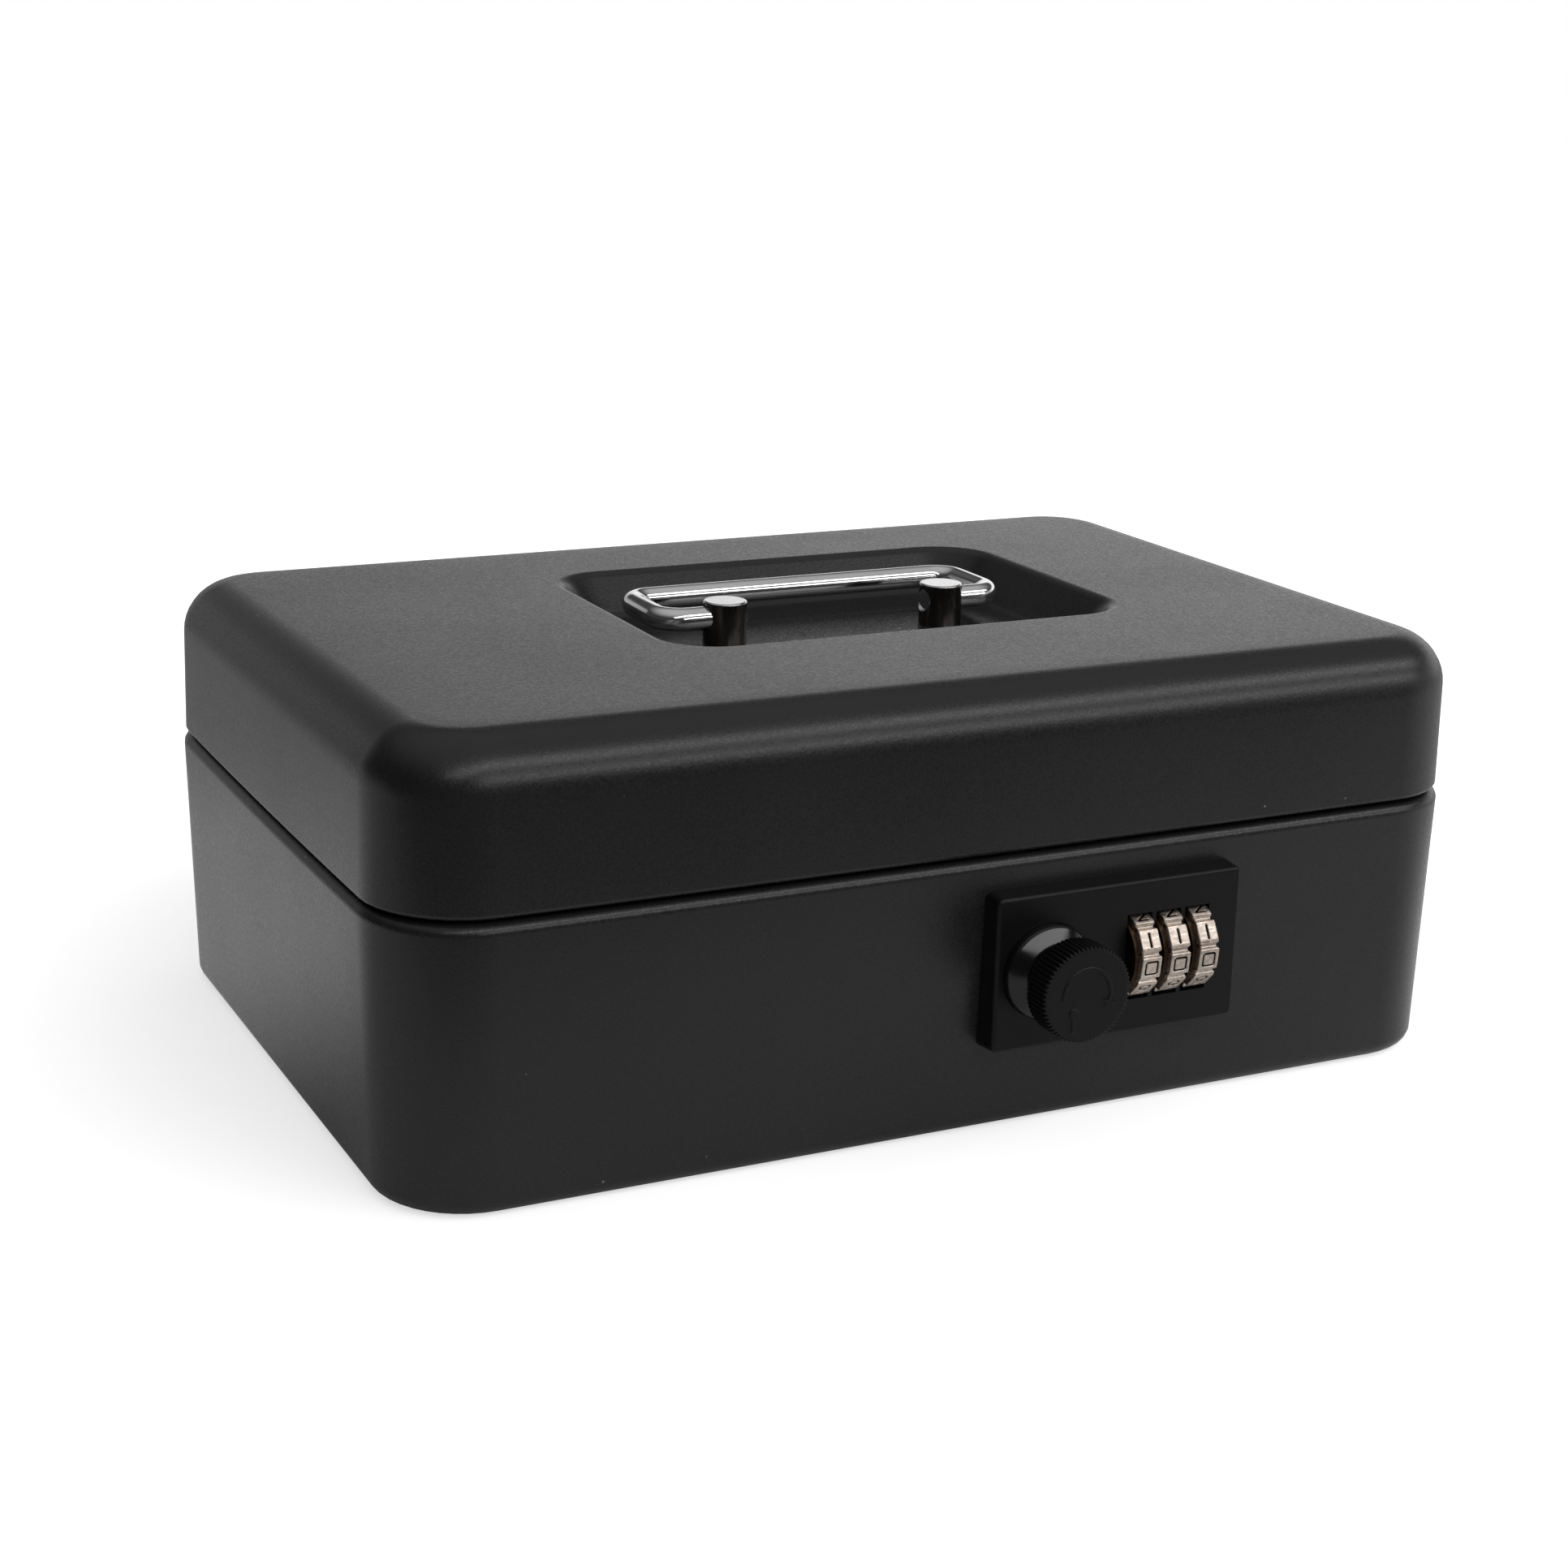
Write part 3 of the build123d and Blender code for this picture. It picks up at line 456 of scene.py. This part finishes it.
def face_marks(u, v):
    """Height, from 0 to 1, of the raised round arrow and index mark on the knob's face."""
    angle = np.degrees(np.arctan2(v, u))
    radius = np.hypot(u, v)
    from_arc = np.abs(radius - 5.5)
    bow = np.where((angle > -18) | (angle < -175), from_arc - 0.45, 9.0)
    tip = np.where((angle < -17) & (angle > -36), from_arc - (angle + 36) * 0.09, 9.0)
    dot = np.hypot(u + 3.0, v + 3.6) - 1.1
    bar = np.maximum(np.abs(u + 3.0) - 0.55, np.abs(v + 6.0) - 1.6)
    return ramp(-np.minimum.reduce([bow, tip, dot, bar]), -0.08, 0.12)


def knob():
    """Serrated grip with a flat face. A profile point is (radius, y, share of groove depth)."""
    low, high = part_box("knob")
    centre = ((low.x + high.x) / 2 / MM, (low.z + high.z) / 2 / MM)
    r = (high.x - low.x) / 2 / MM
    mark = 0.25                  # how far the marks stand out of the face
    face, foot = low.y / MM + mark, high.y / MM
    back = face + 7.2            # rear of the grip, where its neck starts
    teeth, groove_depth = 64, 0.5
    profile = [
        (5.3, foot, 0.0), (5.3, back + 0.6, 0.0), (5.9, back, 0.0), (r - 1.0, back, 0.0),
        (r - 0.35, back - 0.2, 0.6), (r, back - 0.7, 1.0),
        (r, face + 0.5, 1.0), (r - 0.1, face + 0.15, 1.0), (r - 0.3, face, 1.0), (r - 1.1, face, 0.0),
    ]
    profile += [(x, face, 0.0) for x in np.arange(r - 1.3, 0.1, -0.15)]
    around = np.linspace(0, 2 * math.pi, teeth * 10 + 1)[:-1]
    phase = np.abs((around * teeth / (2 * math.pi)) % 1 - 0.5) * 2
    groove = groove_depth * ramp(phase, 0.25, 1.0)
    loops = []
    for radius, y, share in profile:
        here = radius - groove * share
        u, v = here * np.cos(around), here * np.sin(around)
        lift = face_marks(u, v) * mark if radius < r - 1.5 else 0.0
        depth = np.full(len(around), y) - lift
        loops.append(np.stack([centre[0] + u, depth, centre[1] + v], 1).tolist())
    verts, faces = loft(loops)
    obj = new_piece("knob_grip", verts, faces, sharp=50)
    place(obj, "knob", "knob_black", "knob")
    return obj


# Each digit is one line of strokes on a square from -1 to 1.
GLYPHS = {
    0: [(-1, -0.8), (-0.8, -1), (0.8, -1), (1, -0.8), (1, 0.8), (0.8, 1), (-0.8, 1), (-1, 0.8), (-1, -0.8)],
    1: [(0, -1), (0, 1)],
    2: [(-0.8, 0.6), (-0.5, 1), (0.5, 1), (0.8, 0.6), (0.8, 0.2), (-0.8, -1), (0.8, -1)],
    3: [(-0.8, 1), (0.8, 1), (0, 0.15), (0.6, 0.1), (0.8, -0.2), (0.8, -0.7), (0.4, -1), (-0.8, -1)],
    4: [(0.4, -1), (0.4, 1), (-0.8, -0.4), (0.8, -0.4)],
    5: [(0.8, 1), (-0.8, 1), (-0.8, 0.1), (0.4, 0.1), (0.8, -0.2), (0.8, -0.7), (0.4, -1), (-0.8, -1)],
    6: [(0.5, 1), (-0.8, 0), (-0.8, -0.7), (-0.5, -1), (0.5, -1), (0.8, -0.7), (0.8, -0.2), (0.5, 0.1),
        (-0.7, 0.1)],
    7: [(-0.8, 1), (0.8, 1), (-0.2, -1)],
    8: [(0.5, 0.05), (0.7, 0.4), (0.7, 0.7), (0.4, 1), (-0.4, 1), (-0.7, 0.7), (-0.7, 0.4), (-0.5, 0.05),
        (0.5, 0.05), (0.8, -0.3), (0.8, -0.7), (0.5, -1), (-0.5, -1), (-0.8, -0.7), (-0.8, -0.3),
        (-0.5, 0.05)],
    9: [(-0.5, -1), (0.8, 0), (0.8, 0.7), (0.5, 1), (-0.5, 1), (-0.8, 0.7), (-0.8, 0.2), (-0.5, -0.1),
        (0.7, -0.1)],
}


def digit_ink(digit, u, v):
    """How deep each point of a tread lies in its digit's strokes, from 0 to 1."""
    ink = np.zeros(u.shape)
    for k, glyph in GLYPHS.items():
        rows = digit == k
        strokes = [(x * DIGIT_HALF, y * DIGIT_HALF) for x, y in glyph]
        ink[rows] = 1 - ramp(segment_distance(u[rows], v[rows], strokes), 0.15, 0.31)
    return ink


def number_wheel(number):
    """A wheel with ten pads, waisted grooves between them and an engraved digit on each."""
    name = f"number_wheel_{number}"
    low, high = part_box(name)
    pivot = [c / MM for c in JOINTS[f"wheel_{number}_spin"]["pos_m"]]
    mid, half = (low.x + high.x) / 2 / MM, (high.x - low.x) / 2 / MM
    radius = (high.z - low.z) / 2 / MM
    around, across, bore = 640, 43, 5.02
    pitch = 360.0 / WHEEL_FACES
    theta = np.arange(around) / around * 2 * math.pi
    turned = np.degrees(theta) + ZERO_DROP
    part = (turned + pitch / 2) % pitch - pitch / 2
    digit = np.round((turned - part) / pitch).astype(int) % WHEEL_FACES
    from_groove = (pitch / 2 - np.abs(part)) * math.pi / 180 * radius
    waist = 1 - ramp(from_groove, 0.1, 0.85)
    tread = np.minimum(radius, 0.985 * radius / np.cos(np.radians(part))) - 0.62 * waist
    width = half - 0.38 * waist
    share = np.linspace(-1, 1, across)
    v = np.radians(part)[:, None] * radius * np.ones(across)[None, :]
    u = width[:, None] * share[None, :]
    ink = digit_ink(digit, u, v)
    edge = np.clip(1 - (1 - np.abs(share)) * half / 0.35, 0, 1)
    r = tread[:, None] - DIGIT_DEPTH * ink - 0.3 * (1 - np.sqrt(1 - edge[None, :] ** 2 * 0.98))
    shoulder = tread - 0.32
    columns = [(np.full(around, bore), -width), (tread * 0.72, -width), (shoulder, -width)]
    columns += [(r[:, i], u[:, i]) for i in range(across)]
    columns += [(shoulder, width), (tread * 0.72, width), (np.full(around, bore), width)]
    loops = []
    for rad, x in columns:
        y = pivot[1] - rad * np.cos(theta)
        z = pivot[2] + rad * np.sin(theta)
        loops.append(np.stack([mid + x, y, z], 1).tolist())
    verts, faces = loft(loops, caps=False, closed=True)
    obj = new_piece(f"wheel_ring_{number}", verts, faces, sharp=60)
    mask = np.zeros((len(columns), around), np.float32)
    mask[3:3 + across] = ink.T
    obj.data.attributes.new("ink", "FLOAT", "POINT").data.foreach_set("value", mask.ravel())
    place(obj, f"wheel_{number}", "wheel_nickel", name)
    return obj


# ---- Materials -------------------------------------------------------------------------------

def add(tree, kind, values=None, **settings):
    """A shader node, with each input set to a value or linked to a socket."""
    made = tree.nodes.new(kind)
    for key, value in settings.items():
        setattr(made, key, value)
    for key, value in (values or {}).items():
        if isinstance(value, bpy.types.NodeSocket):
            tree.links.new(value, made.inputs[key])
        else:
            made.inputs[key].default_value = value
    return made


def math_node(tree, operation, *values):
    made = add(tree, "ShaderNodeMath", dict(enumerate(values)), operation=operation)
    return made.outputs[0]


def spread(tree, value, low, high, to_low, to_high):
    made = add(tree, "ShaderNodeMapRange", {
        "Value": value, "From Min": low, "From Max": high, "To Min": to_low, "To Max": to_high
    }, interpolation_type="SMOOTHSTEP")
    return made.outputs["Result"]


def noise(tree, coords, scale, detail=2.0, rough=0.5):
    made = add(tree, "ShaderNodeTexNoise", {
        "Vector": coords, "Scale": scale, "Detail": detail, "Roughness": rough
    })
    return made.outputs["Fac"]


def times(tree, value, source, low, high, swing):
    """A value that varies by plus or minus swing as a noise goes from low to high."""
    return math_node(tree, "MULTIPLY", value, spread(tree, source, low, high, 1 - swing, 1 + swing))


def along(tree, vector, direction):
    """How far a vector reaches along a direction."""
    made = add(tree, "ShaderNodeVectorMath", {0: vector, 1: direction}, operation="DOT_PRODUCT")
    return made.outputs["Value"]


def mix(tree, share, base, other):
    """The base colour, turned towards another by a share."""
    made = add(tree, "ShaderNodeMix", {0: share, 6: base, 7: (*other, 1)}, data_type="RGBA")
    return made.outputs[2]


def finish(name, colour, rough, metal=0.0, grain=900, depth=0.02, vary=0.15, fleck=0.0, sparkle=0.05,
           scratch=0.0, stretch=(1, 1, 40), dust=0.0, ink=False, specular=0.5, side=None):
    """One procedural finish.

    vary is the slow change of colour, fleck its fine change, sparkle the fine change of gloss, scratch
    the change of gloss along stretched streaks, and side a painted shade: the darker colour that upright
    faces take in place of the dark surroundings they would reflect.
    """
    made = bpy.data.materials.new(name)
    made.use_nodes = True
    tree = made.node_tree
    shader = tree.nodes["Principled BSDF"]
    place_in = add(tree, "ShaderNodeTexCoord")
    coords = place_in.outputs["Object"]
    slow = noise(tree, coords, 28, 3)
    fine = noise(tree, coords, grain, 3, 0.6)
    value = spread(tree, slow, 0.3, 0.7, 1 - vary, 1 + vary)
    value = times(tree, value, fine, 0.25, 0.75, fleck)
    tone = add(tree, "ShaderNodeVectorMath", {0: colour, 3: value}, operation="SCALE").outputs[0]
    gloss = times(tree, rough, slow, 0.3, 0.7, 0.03)
    gloss = times(tree, gloss, fine, 0.3, 0.7, sparkle)
    height = fine
    if scratch:
        lines = add(tree, "ShaderNodeMapping", {"Vector": coords, "Scale": stretch}).outputs[0]
        streak = noise(tree, lines, 260, 4, 0.7)
        gloss = times(tree, gloss, streak, 0.3, 0.7, scratch)
        height = math_node(tree, "ADD", fine, math_node(tree, "MULTIPLY", streak, 1.5))
    if dust:
        cells = add(tree, "ShaderNodeTexVoronoi", {"Vector": coords, "Scale": 75.0})
        speck = spread(tree, cells.outputs["Distance"], 0.016, 0.028, dust, 0.0)
        tone = mix(tree, speck, tone, (0.35, 0.34, 0.33))
    if ink:
        painted = add(tree, "ShaderNodeAttribute", attribute_name="ink").outputs["Fac"]
        dark = spread(tree, painted, 0.35, 0.8, 0.0, 1.0)
        tone = mix(tree, dark, tone, (0.012, 0.010, 0.009))
        gloss = math_node(tree, "MAXIMUM", gloss, math_node(tree, "MULTIPLY", dark, 0.6))
    # Painted shade: upright faces are turned towards the darker side colour, while faces that look up keep
    # the bright colour.
    if side:
        up = add(tree, "ShaderNodeSeparateXYZ", {0: place_in.outputs["Normal"]}).outputs["Z"]
        tone = mix(tree, spread(tree, up, 0.3, 0.8, 1.0, 0.0), tone, side)
    bump = add(tree, "ShaderNodeBump", {"Height": height, "Distance": depth * MM, "Strength": 1.0})
    tree.links.new(tone, shader.inputs["Base Color"])
    tree.links.new(gloss, shader.inputs["Roughness"])
    tree.links.new(bump.outputs[0], shader.inputs["Normal"])
    shader.inputs["Metallic"].default_value = metal
    shader.inputs["Specular IOR Level"].default_value = specular
    return made


FINISHES = {
    "box_paint": dict(
        colour=(0.0160, 0.0158, 0.0160), rough=0.31, grain=1900, depth=0.034, vary=0.08,
        dust=0.5, fleck=0.12, sparkle=0.18,
    ),
    "hinge_paint": dict(colour=(0.016, 0.016, 0.017), rough=0.42, grain=1300),
    "tray_plastic": dict(
        colour=(0.014, 0.014, 0.014), rough=0.5, grain=1500, depth=0.03, vary=0.08,
    ),
    "plate_black": dict(
        colour=(0.0050, 0.0050, 0.0053), rough=0.40, grain=1500, depth=0.012, vary=0.1, specular=0.26,
    ),
    "knob_black": dict(
        colour=(0.0055, 0.0055, 0.0058), rough=0.42, grain=1200, depth=0.01, vary=0.1, specular=0.26,
    ),
    "collar_gloss": dict(
        colour=(0.006, 0.006, 0.006), rough=0.14, grain=500, depth=0.003, vary=0.1,
    ),
    "handle_chrome": dict(
        colour=(0.92, 0.92, 0.93), rough=0.12, metal=1.0, grain=500, depth=0.001, vary=0.04,
        scratch=0.2, stretch=(1, 1, 1),
    ),
    # The posts' upright faces take a painted shade, a dark brownish side colour that stands for the
    # reflection of their dark surroundings.
    "post_chrome": dict(
        colour=(0.80, 0.80, 0.81), rough=0.16, metal=1.0, grain=700, depth=0.002, vary=0.05,
        scratch=0.5, stretch=(6, 6, 0.6), side=(0.16, 0.145, 0.135),
    ),
    "wheel_nickel": dict(
        colour=(0.74, 0.64, 0.56), rough=0.40, metal=1.0, grain=1400, depth=0.010, vary=0.16,
        scratch=0.35, stretch=(1, 9, 9), ink=True, fleck=0.22,
    ),
    "zinc_steel": dict(
        colour=(0.56, 0.57, 0.60), rough=0.34, metal=1.0, grain=700, depth=0.006, vary=0.12,
        scratch=0.25, stretch=(1, 1, 22),
    ),
    "steel_pin": dict(
        colour=(0.55, 0.55, 0.56), rough=0.28, metal=1.0, depth=0.004, vary=0.1,
        scratch=0.3, stretch=(20, 1, 1),
    ),
    "spring_steel": dict(
        colour=(0.22, 0.21, 0.22), rough=0.32, metal=1.0, grain=800, depth=0.004, scratch=0.2,
    ),
    "cam_brass": dict(
        colour=(0.055, 0.036, 0.022), rough=0.42, metal=1.0, depth=0.006, vary=0.2, scratch=0.2,
    ),
    "case_zinc": dict(colour=(0.42, 0.42, 0.43), rough=0.5, metal=0.9, grain=600, vary=0.12),
}
OWN_FINISH = {"handle_post_left": "post_chrome", "handle_post_right": "post_chrome"}


def dress():
    """Gives every shown piece and CAD node the finish of its material slot, or one of its own."""
    made = {name: finish(name, **settings) for name, settings in FINISHES.items()}
    slots = {part["node"]: part["material_slot"] for part in frame["record"]["subparts"]}
    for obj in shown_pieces():
        node = obj.get("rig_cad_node")
        slot = OWN_FINISH.get(node) or obj.get("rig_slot") or slots[node]
        obj.data.materials.clear()
        obj.data.materials.append(made[slot])


# ---- Floor, light and camera -----------------------------------------------------------------

def floor():
    """White sheet, with painted shade and painted light. Its colour is painted darker well in front of the
    box, where the box's front reflects it, and it glows: washed out for the camera, and near and behind the
    box for reflected rays.
    """
    count, reach = 96, 4000.0
    angles = np.linspace(0, 2 * math.pi, count + 1)[:-1]
    rim = [(reach * math.cos(a), reach * math.sin(a), -0.3) for a in angles]
    obj = new_piece("floor", rim, [tuple(range(count))])
    made = bpy.data.materials.new("floor")
    made.use_nodes = True
    tree = made.node_tree
    tree.nodes.clear()
    seen = add(tree, "ShaderNodeLightPath").outputs["Is Camera Ray"]
    hidden = math_node(tree, "SUBTRACT", 1.0, seen)
    spot = add(tree, "ShaderNodeTexCoord").outputs["Object"]
    depth = along(tree, spot, (0.35, 0.94, 0.0))
    away = add(tree, "ShaderNodeVectorMath", {0: spot}, operation="LENGTH").outputs["Value"]
    # Painted shade: the floor's colour drops from pale to dark grey well in front of the box, where the
    # box's front wall reflects it.
    painted_shade_grey = spread(tree, depth, -0.30, -0.15, 0.16, 0.95)
    # Painted light: for the camera the floor glows, washed out towards white away from the box.
    painted_camera_glow = math_node(tree, "MULTIPLY", spread(tree, away, 0.12, 0.32, 0.62, 1.0), seen)
    # Painted light: for reflected rays the floor glows near and behind the box, fading further out.
    painted_bounce_glow = math_node(tree, "MULTIPLY", spread(tree, depth, -0.08, 0.02, 0.0, 1.0), hidden)
    painted_bounce_glow = math_node(tree, "MULTIPLY", spread(tree, away, 0.17, 0.36, 0.45, 0.05), painted_bounce_glow)
    matt = add(tree, "ShaderNodeBsdfDiffuse", {"Color": painted_shade_grey})
    strength = math_node(tree, "ADD", painted_camera_glow, painted_bounce_glow)
    # The emission that makes the floor glow, painted light.
    lift = add(tree, "ShaderNodeEmission", {"Color": (1, 1, 1, 1), "Strength": strength})
    both = add(tree, "ShaderNodeAddShader", {0: matt.outputs[0], 1: lift.outputs[0]})
    add(tree, "ShaderNodeOutputMaterial", {"Surface": both.outputs[0]})
    obj.data.materials.append(made)


def studio():
    """A dim room with a pale backdrop low down behind the box and a paler ceiling."""
    world = bpy.data.worlds.new("studio")
    bpy.context.scene.world = world
    world.use_nodes = True
    tree = world.node_tree
    tree.nodes.clear()
    look = add(tree, "ShaderNodeTexCoord").outputs["Generated"]
    height = add(tree, "ShaderNodeSeparateXYZ", {0: look}).outputs["Z"]
    ahead = along(tree, look, (0.80, 0.60, 0.0))
    low = spread(tree, height, 0.27, 0.40, 1.0, 0.0)
    wide = spread(tree, ahead, 0.60, 0.95, 0.38, 1.0)
    wide = math_node(tree, "MULTIPLY", wide, spread(tree, ahead, 0.0, 0.30, 0.0, 1.0))
    backdrop = math_node(tree, "MULTIPLY", math_node(tree, "MULTIPLY", low, wide), 0.95)
    ceiling = spread(tree, height, 0.40, 1.00, 0.04, 0.42)
    total = math_node(tree, "ADD", backdrop, ceiling)
    seen = add(tree, "ShaderNodeLightPath").outputs["Is Camera Ray"]
    total = math_node(tree, "MAXIMUM", total, seen)
    back = add(tree, "ShaderNodeBackground", {"Color": (1, 1, 1, 1), "Strength": total})
    add(tree, "ShaderNodeOutputWorld", {"Surface": back.outputs[0]})


def softbox(name, place_at, aim, size, watts):
    data = bpy.data.lights.new(name, "AREA")
    data.shape = "RECTANGLE"
    data.size, data.size_y = size
    data.energy = watts
    lamp = bpy.data.objects.new(name, data)
    lamp.location = place_at
    lamp.rotation_mode = "QUATERNION"
    lamp.rotation_quaternion = (Vector(aim) - Vector(place_at)).to_track_quat("-Z", "Y")
    bpy.context.scene.collection.objects.link(lamp)


def camera():
    """From the front left, a little above the box."""
    azimuth, elevation = math.radians(-26.37), math.radians(16.30)
    distance, aim, roll = 0.6275, Vector((0, 0, 0.045)), math.radians(1.35)
    flat = math.cos(elevation)
    back = Vector((math.sin(azimuth) * flat, -math.cos(azimuth) * flat, math.sin(elevation)))
    data = bpy.data.cameras.new("camera")
    data.sensor_width = 36
    data.lens = 62.5
    cam = bpy.data.objects.new("camera", data)
    bpy.context.scene.collection.objects.link(cam)
    turn = (-back).to_track_quat("-Z", "Y")
    sideways = turn @ Vector((-0.00348, 0.00718, 0))
    cam.location = aim + back * distance + sideways
    cam.rotation_mode = "QUATERNION"
    cam.rotation_quaternion = turn @ Quaternion((0, 0, 1), roll)
    bpy.context.scene.camera = cam


base_skin()
lid_skin()
badge()
bail()
collar()
knob()
for wheel in (1, 2, 3):
    number_wheel(wheel)
dress()

floor()
studio()
softbox("high", (0.25, -0.80, 0.98), (0, -0.08, 0.09), (2.5, 0.22), 5.5)
softbox("front", (0.52, -1.10, 0.60), (0, -0.08, 0.09), (1.5, 0.20), 3.2)
camera()
bpy.context.scene.view_settings.view_transform = "Standard"
